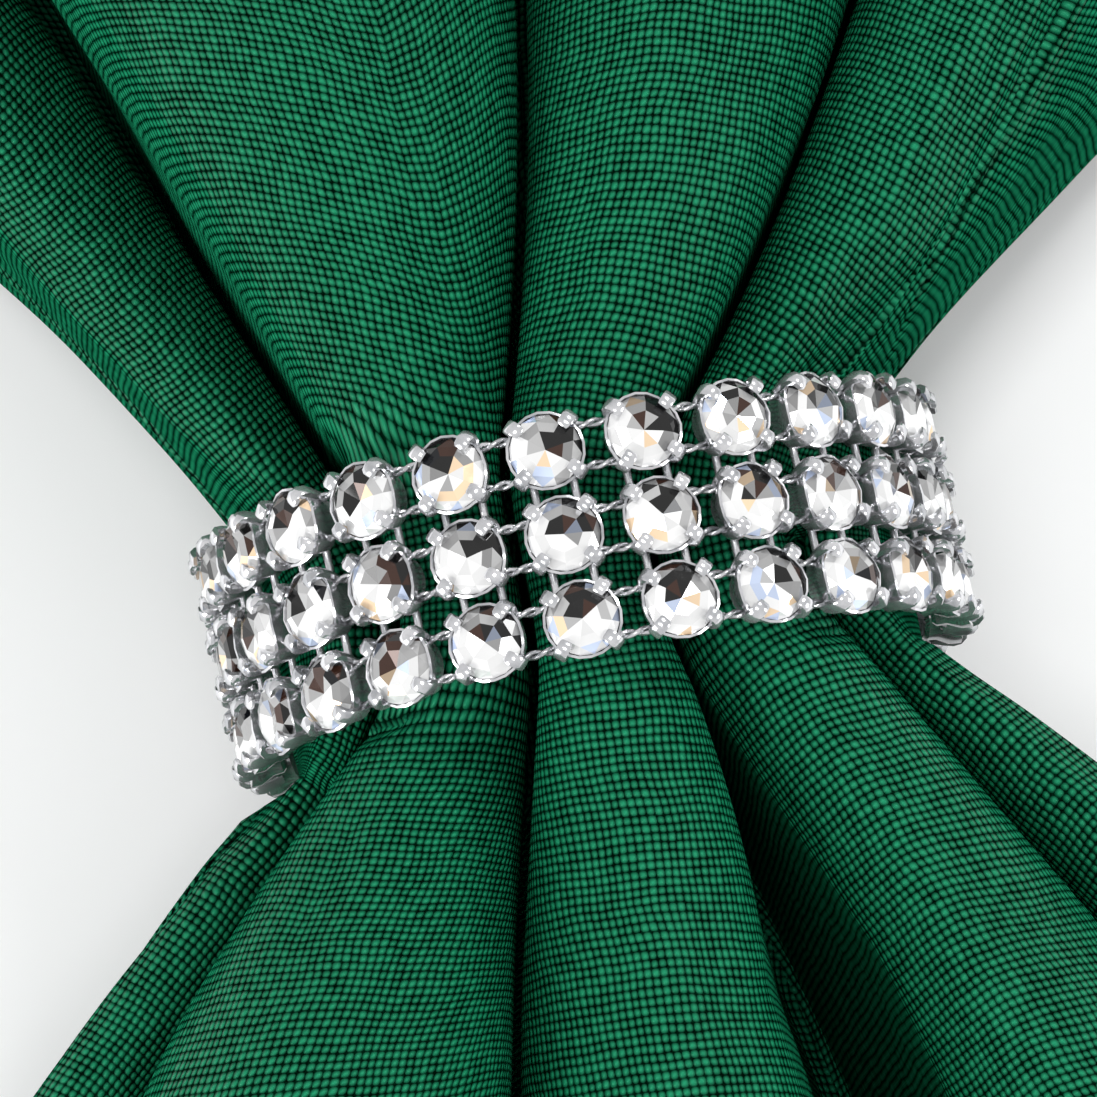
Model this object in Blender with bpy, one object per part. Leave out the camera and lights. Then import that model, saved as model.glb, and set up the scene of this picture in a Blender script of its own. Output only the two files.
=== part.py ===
"""A square table napkin, pleated across its middle and drawn through a ring of three cup chains.

Both wings of the napkin fan out over the table. The ring's axis lies along Y, X runs across the pleats, and
the origin is on the table under the middle of the whole object. Lengths are in metres, angles in degrees.
"""

import functools
import math
from collections import namedtuple

import bmesh
import bpy
import numpy as np
from mathutils import Matrix, Vector

# Ring: rows of round cups, each cup with the stone that fills it, on a narrow hoop of wire.
CUPS = 24
ROWS = (("front", -1), ("middle", 0), ("back", 1))
ROW_PITCH = 0.0048
RING_HEIGHT = 0.0228        # of the ring's axis over the table
RING_TURN = -3.6            # of the top cup, from straight up towards +X
RING_PLACE = (-0.0044, 0.0007) # of the ring's middle from the origin; all else is measured from the ring
CUP_SIDES = 8
CUP_FOOT = (0.0015, 0.0189)     # radius of the cup, distance from the ring's axis
CUP_RIM = (0.00215, 0.0210)
STONE_TABLE = (0.00115, 0.0220)
HOOP_WIDTH = 0.0014
HOOP_INNER = 0.0193
HOOP_OUTER = 0.0199
LINK_SIZE = (0.0016, 0.0009, 0.0005)    # round the ring, along its axis, outwards
LINK_RADIUS = 0.01945

# Napkin: a square of cloth. It is measured across the pleats and along them, from the ring's middle.
THICKNESS = 0.0010
NAPKIN_SIDE = 0.400
HALF_LENGTH = NAPKIN_SIDE / 2
TABLE = THICKNESS / 2           # height of the sheet's middle where it lies on the table
FOOT = 0.00015                  # cloth that comes this near the table lies flat on it
LEAST_BEND = 0.75               # the offset grows by no more than this much's inverse in a sharp bend
NECK_RADIUS = 0.0180            # the sheet's middle keeps inside this in the ring
NECK_HALF_LENGTH = 0.0076
NECK_FLARE = 2.6                # how fast the sheet may widen past the ring
CREASE_GAP = 0.00085            # from a closed crease's middle to the sheet's middle on each side
TROUGH_FLAT = 0.0003
TROUGH_RADIUS = 0.0009

# The folds from left to right. strip: width of cloth since the fold before. back_x, front_x: where it leaves
# the back and front of the ring. back_turn, front_turn: how far it leans from the ring's axis there, to +X.
# open_at, open_rate: a front trough opens from this distance, by this much a metre.
Fold = namedtuple("Fold", "name strip back_x front_x back_turn front_turn open_at open_rate")
FOLDS = (
    Fold("hem_left", 0.000, -0.0187, -0.0204, -27, -50, 0.060, 4),
    Fold("crest_1", 0.028, -0.0160, -0.0179, -24, -49, 0, 0),
    Fold("trough_1", 0.028, -0.0124, -0.0149, -19, -46, 0.045, 4),
    Fold("crest_2", 0.050, -0.0077, -0.0103, -2, -31, 0, 0),
    Fold("trough_2", 0.054, -0.0030, -0.0047, 18, -16, 0.045, 4),
    Fold("crest_3", 0.048, 0.0022, -0.0004, 28, -2, 0, 0),
    Fold("trough_3", 0.046, 0.0074, 0.0041, 39, 14, 0.009, 22),
    Fold("crest_4", 0.044, 0.0118, 0.0089, 44, 21, 0, 0),
    Fold("trough_4", 0.038, 0.0150, 0.0137, 47, 30, 0.045, 4),
    Fold("crest_5", 0.032, 0.0166, 0.0165, 49, 36, 0, 0),
    Fold("hem_right", 0.032, 0.0185, 0.0185, 51, 41, 0.060, 4),
)
BACK_FAN = (-36, 56)            # where the hems are at the far edges of the wings, as seen from the ring
FRONT_FAN = (-52, 46)
FAN_HANDLE = 0.34               # how stiffly a fold keeps to its lean, as a share of its length
SWAY = 0.0022                   # each fold wanders sideways by this much on its way out
SWAY_LENGTH = 0.110
SWAY_FROM, SWAY_TO = 0.030, 0.080
LAG_TO, LAG_UNTIL = 0.017, (0.060, 0.190)
SETTLE_TO = 0.026               # troughs reach the table this far from the ring's middle
HEM_SETTLE_TO = 0.048
RELAX_TO = 0.034                # crests are free of the ring from here
TUCK_TO = 0.016                 # the outer pleats follow the ring's inside up to here
HEM_RINGS = {"hem_left": -8, "hem_right": -12}     # height of each side hem in the ring, as an angle
BACK_OPEN_AT, BACK_OPEN_RATE = 0.045, 4
MOST_OPEN = 0.62
SHALLOW_FROM, SHALLOW_UNTIL = (-0.035, 0.007), (0.080, 0.150)   # behind the ring, trough 4 is shallow
SHALLOW = 0.0012                # by this much under the crests beside it
BROAD_FROM, BROAD_UNTIL = (-0.004, 0.007), (0.045, 0.085)        # and fades out between these distances

# Stations along the pleats, on each side of the ring's middle, and steps across each half pleat.
STATIONS = (0, 4, 7.6, 10, 13, 17, 22, 28, 37, 50, 68, 92, 118, 145, 172, 200)
STEPS = {"flat": 1, "trough": 2, "wall": 1, "crest": 3}
HEM_BEND_STEPS = STEPS["flat"] + STEPS["trough"] + STEPS["wall"]

Paint = namedtuple("Paint", "colour roughness metallic")
CLOTH = Paint((0.006, 0.105, 0.045), 0.75, 0.0)
SILVER = Paint((0.80, 0.80, 0.82), 0.18, 1.0)


def clear_scene():
    for item in list(bpy.data.objects):
        bpy.data.objects.remove(item, do_unlink=True)


def new_collection(name, hidden=False):
    collection = bpy.data.collections.new(name)
    bpy.context.scene.collection.children.link(collection)
    collection.hide_render = hidden
    return collection


def new_material(name, paint):
    material = bpy.data.materials.new(name)
    material.use_nodes = True
    shader = material.node_tree.nodes["Principled BSDF"]
    shader.inputs["Base Color"].default_value = (*paint.colour, 1)
    shader.inputs["Roughness"].default_value = paint.roughness
    shader.inputs["Metallic"].default_value = paint.metallic
    return material


def new_object(name, mesh, collection, material):
    item = bpy.data.objects.new(name, mesh)
    mesh.materials.append(material)
    collection.objects.link(item)
    return item


def smoothstep(value, low, high):
    t = np.clip((value - low) / (high - low), 0.0, 1.0)
    return t * t * (3 - 2 * t)


# ---------------------------------------------------------------- napkin

def bezier(start, start_handle, end_handle, end, t):
    t = t[:, None]
    return ((1 - t) ** 3 * start + 3 * t * (1 - t) ** 2 * start_handle
            + 3 * t ** 2 * (1 - t) * end_handle + t ** 3 * end)


@functools.lru_cache(maxsize=None)
def fold_line(index, wing):
    """A fold seen from above, from the ring's middle to the wing's far edge (wing 1 back, -1 front).

    Returns its points and their distances along it.
    """
    fold = FOLDS[index]
    front, back = math.radians(fold.front_turn), math.radians(fold.back_turn)
    near = back if wing > 0 else front
    edge = NECK_HALF_LENGTH
    # Through the ring: a cubic that leaves both of its edges at the fold's lean.
    handle = 2 * edge / 3
    share = np.linspace(0.5, 1.0 if wing > 0 else 0.0, 12)
    ring = bezier(np.array([fold.front_x, -edge]),
                  np.array([fold.front_x - handle * math.tan(front), -edge + handle]),
                  np.array([fold.back_x - handle * math.tan(back), edge - handle]),
                  np.array([fold.back_x, edge]), share)
    # Out to the far edge, where the folds are as far apart as their strips of cloth are wide.
    along = sum(f.strip for f in FOLDS[:index + 1]) / NAPKIN_SIDE
    first, last = BACK_FAN if wing > 0 else FRONT_FAN
    far = math.radians(first + (last - first) * along)
    start = ring[-1]
    lean = np.array([math.sin(near), wing * math.cos(near)])
    fan = np.array([math.sin(far), wing * math.cos(far)])
    reach = HALF_LENGTH
    for _ in range(4):
        end = fan * reach
        handle = FAN_HANDLE * np.linalg.norm(end - start)
        t = np.linspace(0, 1, 90)[1:]
        out = bezier(start, start + lean * handle, end - fan * handle, end, t)
        away = t * HALF_LENGTH
        sway = SWAY * np.sin(2 * np.pi * away / SWAY_LENGTH + 1.9 * index + wing)
        sway *= smoothstep(away, SWAY_FROM, SWAY_TO)
        out = out + sway[:, None] * np.array([fan[1], -fan[0]])
        points = np.vstack([ring, out])
        distance = np.concatenate([[0], np.cumsum(np.linalg.norm(np.diff(points, axis=0), axis=1))])
        reach *= HALF_LENGTH / distance[-1]
    return points, distance


@functools.lru_cache(maxsize=None)
def fold_lags(wing):
    """How far each fold lags behind, so that a station's line crosses every fold squarely."""
    place = [f.back_x if wing > 0 else f.front_x for f in FOLDS]
    turn = [math.radians(f.back_turn if wing > 0 else f.front_turn) for f in FOLDS]
    lags = [0.0]
    for i in range(1, len(FOLDS)):
        lags.append(lags[-1] + (place[i] - place[i - 1]) * math.sin((turn[i] + turn[i - 1]) / 2))
    lags = np.array(lags) - min(lags)
    exits = [np.interp(NECK_HALF_LENGTH, abs(fold_line(i, wing)[0][:, 1]), fold_line(i, wing)[1])
             for i in range(len(FOLDS))]
    return lags - (np.array(exits) - NECK_HALF_LENGTH)


def fold_places(wing, distance):
    """Where a station's line crosses each fold, seen from above, and how far out each fold is there."""
    lags = fold_lags(wing)
    ramp = smoothstep(distance, 0, np.maximum(LAG_TO, 2.2 * lags)) * (1 - smoothstep(distance, *LAG_UNTIL))
    out = distance - lags * ramp
    paths = []
    for i in range(len(FOLDS)):
        points, along = fold_line(i, wing)
        paths.append([np.interp(out[i], along, points[:, 0]), np.interp(out[i], along, points[:, 1])])
    return np.array(paths), out


def half_pleat(span, length, closure):
    """A trough's middle to the next crest: run and height at each step, and the height as it falls freely.

    The cloth lies flat, turns up on a small radius, stands as a wall and turns over a round crest.
    """
    flat = TROUGH_FLAT + 0.1 * max(span - 0.010, 0)
    trough = TROUGH_RADIUS + 0.22 * max(span - 0.008, 0)
    crest = closure * (span - min(CREASE_GAP, span / 2))

    def wall_and_scale(turn):
        scale = min(1.0, (0.98 * length - flat) / ((trough + crest) * turn))
        return length - flat - scale * (trough + crest) * turn, scale

    low, high = 0.02, 2.4
    for _ in range(40):
        turn = (low + high) / 2
        wall, scale = wall_and_scale(turn)
        reach = flat + scale * (trough + crest) * math.sin(turn) + wall * math.cos(turn)
        low, high = (turn, high) if reach > span else (low, turn)
    wall, scale = wall_and_scale(turn)
    run, rise = [0.0], [0.0]

    def bend(radius, start, end, steps):
        x, z = run[-1], rise[-1]
        for a in np.linspace(start, end, steps + 1)[1:]:
            sign = 1 if end > start else -1
            run.append(x + sign * radius * (math.sin(a) - math.sin(start)))
            rise.append(z + sign * radius * (math.cos(start) - math.cos(a)))

    def straight(amount, angle, steps):
        x, z = run[-1], rise[-1]
        for a in np.linspace(0, amount, steps + 1)[1:]:
            run.append(x + a * math.cos(angle))
            rise.append(z + a * math.sin(angle))

    straight(flat, 0.0, STEPS["flat"])
    bend(trough * scale, 0.0, turn, STEPS["trough"])
    straight(wall, turn, STEPS["wall"])
    bend(crest * scale, turn, 0.0, STEPS["crest"])
    return np.array(run) / run[-1], np.array(rise), rise[-1]


def fold_height(index, wing, distance, x, free):
    """Height of a fold: on the ring's inside near the ring, on the table or as it falls further out."""
    x = min(abs(x), abs(FOLDS[index].back_x if wing > 0 else FOLDS[index].front_x))
    in_ring = math.sqrt(max(NECK_RADIUS ** 2 - x ** 2, 0.0))
    if "crest" in FOLDS[index].name:
        blend = smoothstep(distance, NECK_HALF_LENGTH, RELAX_TO)
        return (RING_HEIGHT + in_ring) * (1 - blend) + (TABLE + free) * blend
    settle = HEM_SETTLE_TO if "hem" in FOLDS[index].name else SETTLE_TO
    blend = smoothstep(distance, NECK_HALF_LENGTH, settle)
    return (RING_HEIGHT - in_ring + 0.0006) * (1 - blend) + TABLE * blend


def closure(index, wing, distance):
    """1 where the crests beside a trough touch, less where the trough is open."""
    fold = FOLDS[index]
    start, rate = (BACK_OPEN_AT, BACK_OPEN_RATE) if wing > 0 else (fold.open_at, fold.open_rate)
    return max(MOST_OPEN, 1 - rate * max(distance - start, 0))


def section(wing, distance):
    """The sheet's middle line across all pleats at one distance from the ring's middle, as 3-D points."""
    paths, out = fold_places(wing, distance)
    pleats = []
    for i in range(len(FOLDS) - 1):
        trough, crest = (i, i + 1) if i % 2 == 0 else (i + 1, i)
        span = float(np.linalg.norm(paths[crest] - paths[trough]))
        pleats.append((trough, crest, span, closure(trough, wing, out[trough])))
    free = [half_pleat(span, FOLDS[i + 1].strip, close)[2] for i, (_, _, span, close) in enumerate(pleats)]
    heights = []
    for i in range(len(FOLDS)):
        beside = free[max(i - 1, 0):i + 1]
        heights.append(fold_height(i, wing, out[i], paths[i][0], sum(beside) / len(beside)))
    signed = wing * out[9]
    shallow = smoothstep(signed, *SHALLOW_FROM) * (1 - smoothstep(signed, *SHALLOW_UNTIL))
    heights[8] += (min(heights[7], heights[9]) - SHALLOW - heights[8]) * shallow
    points = []
    for i, (trough, crest, span, close) in enumerate(pleats):
        length = FOLDS[i + 1].strip
        goal = heights[crest] - heights[trough]
        for _ in range(8):
            run, rise, top = half_pleat(span, length, close)
            length += (goal - top) / 2
        plan = paths[trough][None, :] * (1 - run[:, None]) + paths[crest][None, :] * run[:, None]
        strip = np.column_stack([plan, heights[trough] + rise * goal / top])
        if "hem" in FOLDS[trough].name:
            strip = even_steps(strip[HEM_BEND_STEPS:], paths[trough], heights[trough], len(strip))
        strip = strip if trough < crest else strip[::-1]
        points.extend(strip if i == 0 else strip[1:])
    points = np.array(points)
    shape_outer_pleats(points, paths, heights, wing, out)
    return hold_in_ring(points)


def even_steps(strip, plan, height, count):
    """A strip that starts at a side hem, which has no bend of its own, in even steps."""
    strip = np.vstack([[*plan, height], strip])
    along = np.concatenate([[0], np.cumsum(np.linalg.norm(np.diff(strip, axis=0), axis=1))])
    places = np.linspace(0, along[-1], count)
    return np.column_stack([np.interp(places, along, strip[:, i]) for i in range(3)])


def follow_ring(strip, hem, hem_x):
    """A strip from a crest down to a side hem, laid round the inside of the ring."""
    side = math.copysign(1, hem_x)
    top = math.atan2(strip[0, 2] - RING_HEIGHT, side * strip[0, 0])
    angles = np.linspace(top, math.radians(HEM_RINGS[hem]), len(strip))
    crest_reach = math.hypot(strip[0, 0], strip[0, 2] - RING_HEIGHT)
    reach = np.linspace(crest_reach, max(NECK_RADIUS, abs(hem_x)), len(strip))
    return np.column_stack([side * reach * np.cos(angles), strip[:, 1],
                            RING_HEIGHT + reach * np.sin(angles)])


def shape_outer_pleats(points, paths, heights, wing, out):
    """The outer sides follow the ring, and behind it the last two pleats are one broad round one."""
    steps = sum(STEPS.values())
    tuck = 1 - smoothstep(out[0], NECK_HALF_LENGTH, TUCK_TO)
    left = points[:steps + 1][::-1]
    points[:steps + 1] = (left + (follow_ring(left, "hem_left", paths[0][0]) - left) * tuck)[::-1]
    tuck = 1 - smoothstep(out[-1], NECK_HALF_LENGTH, TUCK_TO)
    right = points[9 * steps:]
    points[9 * steps:] = right + (follow_ring(right, "hem_right", paths[-1][0]) - right) * tuck
    signed = wing * out[9]
    broad = smoothstep(signed, *BROAD_FROM) * (1 - smoothstep(signed, *BROAD_UNTIL))
    if broad > 0:
        strip = points[7 * steps:]
        along = np.concatenate([[0], np.cumsum(np.linalg.norm(np.diff(strip, axis=0), axis=1))])
        turn = (along / along[-1] * np.pi / 2)[:, None]
        plan = paths[7] + (paths[-1] - paths[7]) * np.sin(turn) ** 0.9
        arch = np.hstack([plan, heights[-1] + (heights[7] - heights[-1]) * np.cos(turn) ** 0.8])
        arch += (follow_ring(arch, "hem_right", paths[-1][0]) - arch) * tuck
        points[7 * steps:] = strip + (arch - strip) * broad


def hold_in_ring(points):
    """Nothing in the ring is further from its axis than the neck radius; past the ring the limit grows."""
    limit = NECK_RADIUS + NECK_FLARE * np.maximum(abs(points[:, 1]) - NECK_HALF_LENGTH, 0)
    reach = np.hypot(points[:, 0], points[:, 2] - RING_HEIGHT)
    pull = np.minimum(1.0, limit / np.maximum(reach, 1e-9))
    points[:, 0] *= pull
    points[:, 2] = RING_HEIGHT + (points[:, 2] - RING_HEIGHT) * pull
    points[:, 2] = np.maximum(points[:, 2], TABLE)
    return points


def sheet_offsets(points):
    """Half the sheet's thickness as a vector at each point of a grid, at right angles to the sheet."""
    across = np.cross(points[1:, 1:] - points[:-1, :-1], points[:-1, 1:] - points[1:, :-1])
    across /= np.linalg.norm(across, axis=2)[:, :, None]
    faces = np.pad(across, ((1, 1), (1, 1), (0, 0)), mode="edge")
    around = np.array([faces[:-1, :-1], faces[:-1, 1:], faces[1:, :-1], faces[1:, 1:]])
    normals = around.sum(axis=0)
    normals /= np.linalg.norm(normals, axis=2)[:, :, None]
    bend = (around * normals).sum(axis=3).min(axis=0)
    return normals * (THICKNESS / 2 / np.clip(bend, LEAST_BEND, 1))[:, :, None]


def make_napkin(collection, material):
    stations = [(-1, s * 0.001) for s in reversed(STATIONS[1:])] + [(1, s * 0.001) for s in STATIONS]
    middle = np.array([section(wing, distance) for wing, distance in stations])
    offsets = sheet_offsets(middle)
    bm = bmesh.new()
    top, under = [], []
    for sheet, points in ((top, middle + offsets), (under, middle - offsets)):
        points[:, :, 2] = np.where(points[:, :, 2] < FOOT, 0.0, points[:, :, 2])
        sheet.extend([bm.verts.new(point) for point in row] for row in points)
        for low, high in zip(sheet, sheet[1:]):
            for i in range(len(low) - 1):
                bm.faces.new((low[i], low[i + 1], high[i + 1], high[i]))
    for sheet in (top, under):
        sheet[:] = (sheet[0] + [row[-1] for row in sheet[1:]] + sheet[-1][-2::-1]
                    + [row[0] for row in sheet[-2:0:-1]])
    for i in range(len(top)):
        bm.faces.new((top[i - 1], top[i], under[i], under[i - 1]))
    new_object("napkin", mesh_from(bm, "napkin"), collection, material)


# ---------------------------------------------------------------- ring

def place_on_ring(cup, y):
    """Stands a piece made along Z, with its height measured from the ring's axis, at one cup's place."""
    angle = math.radians(RING_TURN + 360 * cup / CUPS)
    return Matrix.Translation((0, y, RING_HEIGHT)) @ Matrix.Rotation(angle, 4, "Y")


def turned(bm, profile, sides, matrix, axis=(0, 0, 1), start=0.0):
    """Adds a profile of (radius, height) turned about an axis as one closed body."""
    across = Vector((0, 0, 1)) if abs(axis[2]) < 0.5 else Vector((1, 0, 0))
    spin = Matrix.Rotation(start, 4, axis)
    verts = [bm.verts.new(spin @ (across * r + Vector(axis) * h)) for r, h in profile]
    edges = [bm.edges.new((a, b)) for a, b in zip(verts, verts[1:] + verts[:1])]
    if min(r for r, _ in profile) == 0:
        bm.edges.remove(edges.pop())
    before = set(bm.verts) - set(verts)
    bmesh.ops.spin(bm, geom=verts + edges, cent=(0, 0, 0), axis=axis, angle=2 * math.pi, steps=sides,
                   use_merge=False)
    made = [v for v in bm.verts if v not in before]
    bmesh.ops.remove_doubles(bm, verts=made, dist=1e-6)
    made = [v for v in bm.verts if v not in before]
    bmesh.ops.transform(bm, matrix=matrix, verts=made)


def mesh_from(bm, name):
    bmesh.ops.recalc_face_normals(bm, faces=bm.faces)
    mesh = bpy.data.meshes.new(name)
    bm.to_mesh(mesh)
    bm.free()
    return mesh


def make_chain(name, y, collection, cutters, material):
    """One closed cup chain: a hoop, with a cup and its stone at each place."""
    hoop = bmesh.new()
    half = HOOP_WIDTH / 2
    rim = [(HOOP_INNER, -half), (HOOP_OUTER, -half), (HOOP_OUTER, half), (HOOP_INNER, half)]
    turned(hoop, rim, CUPS, Matrix.Translation((0, y, RING_HEIGHT)), (0, 1, 0),
           math.radians(RING_TURN + 180 / CUPS))
    chain = new_object(name, mesh_from(hoop, name), collection, material)
    cups = bmesh.new()
    profile = [(0, CUP_FOOT[1]), CUP_FOOT, CUP_RIM, STONE_TABLE, (0, STONE_TABLE[1])]
    for cup in range(CUPS):
        turned(cups, profile, CUP_SIDES, place_on_ring(cup, y), start=math.pi / CUP_SIDES)
    cutter = new_object(name + "_cups", mesh_from(cups, name + "_cups"), cutters, material)
    cutter.hide_render = True
    cutter.display_type = "WIRE"
    join = chain.modifiers.new("cups", "BOOLEAN")
    join.operation = "UNION"
    join.solver = "EXACT"
    join.object = cutter


def make_links(name, y, collection, material):
    """The short links that hold one chain to the next, one at each cup."""
    for cup in range(CUPS):
        bm = bmesh.new()
        size = Matrix.Diagonal((*LINK_SIZE, 1))
        bmesh.ops.create_cube(bm, size=1, matrix=Matrix.Translation((0, 0, LINK_RADIUS)) @ size)
        bmesh.ops.transform(bm, matrix=place_on_ring(cup, y), verts=bm.verts)
        label = f"{name}_{cup + 1:02d}"
        new_object(label, mesh_from(bm, label), collection, material)


def main():
    clear_scene()
    parts = new_collection("napkin_in_ring")
    cutters = new_collection("cutters", hidden=True)
    cloth = new_material("napkin_cloth", CLOTH)
    silver = new_material("ring_silver", SILVER)
    make_napkin(parts, cloth)
    for name, row in ROWS:
        make_chain(f"chain_{name}", row * ROW_PITCH, parts, cutters, silver)
    make_links("link_front", -ROW_PITCH / 2, parts, silver)
    make_links("link_back", ROW_PITCH / 2, parts, silver)
    for item in [*parts.objects, *cutters.objects]:
        item.data.transform(Matrix.Translation((*RING_PLACE, 0)))


main()
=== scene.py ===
"""A green table napkin in a ring of three rows of set stones.

The napkin is a thin woven sheet on the folds of its solid. Lengths are in metres and angles in degrees. The
napkin is worked out from the ring's middle and moved to its place at the end.
"""
import functools
import math
from collections import namedtuple

import bmesh
import bpy
import numpy as np
from mathutils import Matrix, Vector


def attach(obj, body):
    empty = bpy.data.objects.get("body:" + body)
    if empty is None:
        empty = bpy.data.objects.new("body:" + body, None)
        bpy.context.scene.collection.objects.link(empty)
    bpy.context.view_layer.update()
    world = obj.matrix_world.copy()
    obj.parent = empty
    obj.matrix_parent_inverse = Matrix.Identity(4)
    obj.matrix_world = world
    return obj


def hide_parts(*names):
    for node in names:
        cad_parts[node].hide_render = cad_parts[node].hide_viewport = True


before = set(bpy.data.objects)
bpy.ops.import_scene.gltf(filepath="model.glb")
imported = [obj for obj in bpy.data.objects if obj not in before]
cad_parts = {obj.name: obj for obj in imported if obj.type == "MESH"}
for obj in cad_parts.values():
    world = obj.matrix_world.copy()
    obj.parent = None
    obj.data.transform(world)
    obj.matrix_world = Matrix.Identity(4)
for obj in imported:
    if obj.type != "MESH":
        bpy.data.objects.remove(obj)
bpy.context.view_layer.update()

# Ring
CUPS = 24
ROWS = (-1, 0, 1)
ROW_PITCH = 0.0048
RING_HEIGHT = 0.0228
RING_TURN = -3.6
RING_PLACE = (-0.0044, 0.0007)
GIRDLE = (0.00203, 0.0211)          # radius of a stone, its distance from the ring's axis
WIRE_RADIUS = 0.0201
WIRE_OFFSET = 0.00118               # of each twisted wire from its row's middle
STRAND = 0.00015
TWIST_TURNS = 2.5                   # of the two strands between one cup and the next
POST_OFFSET = 0.00112               # of each post between rows from its column's middle
POST_RADIUS = 0.00024
POST_DEPTH = 0.00105                # of the posts' ends under the girdle
POST_SAG = ((-0.00150, 0.0), (-0.00062, -0.00004), (0.0, -0.00006), (0.00062, -0.00004), (0.00150, 0.0))

# Napkin
SHEET = 0.00050                     # thickness
HEM = 0.0060
HEM_SHEET = 0.00095
NAPKIN_SIDE = 0.400
HALF_LENGTH = NAPKIN_SIDE / 2
UNEVEN = 0.00035                    # slow rises and falls of the loose cloth
TABLE = 0.0005                      # height of the sheet's middle where it lies on the table
NECK_RADIUS = 0.0180                # room for the cloth inside the ring
NECK_HALF_LENGTH = 0.0076
NECK_FLARE = 2.6                    # growth of that room past the ring, for each metre
CREASE_GAP = 0.00052                # least width of a trough between two crests
TROUGH_FLAT = 0.0003
TROUGH_RADIUS = 0.0006

# The folds from left to right. strip: width of cloth since the fold before. back_x, front_x: where it leaves
# the back and front of the ring. back_turn, front_turn: how far it leans from the ring's axis there, to +X.
# open_at, open_rate: a front trough opens from this distance, by this much a metre.
Fold = namedtuple("Fold", "name strip back_x front_x back_turn front_turn open_at open_rate")
FOLDS = (
    Fold("hem_left", 0.000, -0.0187, -0.0204, -27, -50, 0.060, 4),
    Fold("crest_1", 0.028, -0.0160, -0.0179, -24, -49, 0, 0),
    Fold("trough_1", 0.028, -0.0124, -0.0149, -19, -46, 0.045, 4),
    Fold("crest_2", 0.050, -0.0077, -0.0103, -2, -31, 0, 0),
    Fold("trough_2", 0.054, -0.0030, -0.0047, 18, -16, 0.045, 4),
    Fold("crest_3", 0.048, 0.0022, -0.0004, 28, -2, 0, 0),
    Fold("trough_3", 0.046, 0.0074, 0.0041, 39, 14, 0.009, 22),
    Fold("crest_4", 0.044, 0.0118, 0.0089, 44, 21, 0, 0),
    Fold("trough_4", 0.038, 0.0150, 0.0137, 47, 30, 0.045, 4),
    Fold("crest_5", 0.032, 0.0166, 0.0165, 49, 36, 0, 0),
    Fold("hem_right", 0.032, 0.0185, 0.0185, 51, 41, 0.060, 4),
)
BACK_FAN = (-36, 56)            # where the hems are at the far edges of the wings, as seen from the ring
FRONT_FAN = (-52, 46)
FAN_HANDLE = 0.34               # how stiffly a fold keeps to its lean, as a share of its length
SWAY = 0.0022                   # each fold wanders sideways by this much on its way out
SWAY_LENGTH = 0.110
SWAY_FROM, SWAY_TO = 0.030, 0.080
LAG_TO, LAG_UNTIL = 0.017, (0.060, 0.190)      # see fold_lags: full from here, and gone between these
SETTLE_TO = 0.026               # troughs reach the table this far from the ring's middle
HEM_SETTLE_TO = 0.048
RELAX_TO = 0.034                # crests are free of the ring from here
TUCK_TO = 0.016                 # the outer pleats follow the ring's inside up to here
HEM_RINGS = {"hem_left": -8, "hem_right": -12}     # height of each side hem in the ring, as an angle
BACK_OPEN_AT, BACK_OPEN_RATE = 0.045, 4
MOST_OPEN = 0.62

# Behind the ring trough 4 is shallow, and the cloth from crest 4 to the right hem is one broad pleat. Both
# come in and fade out between these distances from the ring's middle, negative at the front.
CREST_4, TROUGH_4, CREST_5 = 7, 8, 9
SHALLOW = 0.0012                # trough 4 is this much under the crests beside it
SHALLOW_FROM, SHALLOW_UNTIL = (-0.035, 0.007), (0.080, 0.150)
BROAD_FROM, BROAD_UNTIL = (-0.004, 0.007), (0.045, 0.085)

# Soft creases on the lobes. fold: the crest they lie beside. side: distance across from it, at the start and
# end. start, end: distances along the wing (negative at the front). depth: inwards, a ridge where negative.
Crease = namedtuple("Crease", "fold side_start side_end start end depth width")
CREASES = (
    Crease(3, -0.0040, -0.0085, 0.012, 0.060, 0.00035, 0.0014),
    Crease(3, 0.0022, 0.0050, 0.009, 0.040, 0.00030, 0.0010),
    Crease(3, -0.0010, -0.0012, 0.050, 0.120, 0.00060, 0.0040),
    Crease(5, -0.0024, -0.0050, 0.008, 0.036, 0.00028, 0.0010),
    Crease(5, 0.0018, 0.0060, 0.010, 0.060, 0.00035, 0.0013),
    Crease(7, 0.0030, 0.0048, 0.007, 0.021, 0.00055, 0.0008),
    Crease(7, 0.0048, 0.0090, 0.007, 0.030, 0.00040, 0.0011),
    Crease(1, -0.0012, -0.0030, 0.010, 0.050, 0.00025, 0.0009),
    Crease(3, 0.0020, 0.0060, -0.010, -0.055, 0.00030, 0.0012),
    Crease(3, -0.0022, -0.0040, -0.009, -0.032, 0.00028, 0.0009),
    Crease(5, -0.0016, -0.0045, -0.009, -0.045, 0.00028, 0.0010),
    Crease(5, 0.0024, 0.0040, -0.012, -0.060, 0.00030, 0.0012),
    Crease(7, 0.0014, 0.0035, -0.009, -0.034, 0.00025, 0.0009),
    Crease(7, -0.0020, -0.0060, -0.014, -0.070, 0.00035, 0.0014),
    Crease(9, 0.0010, 0.0022, -0.009, -0.040, 0.00020, 0.0008),
)

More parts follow.
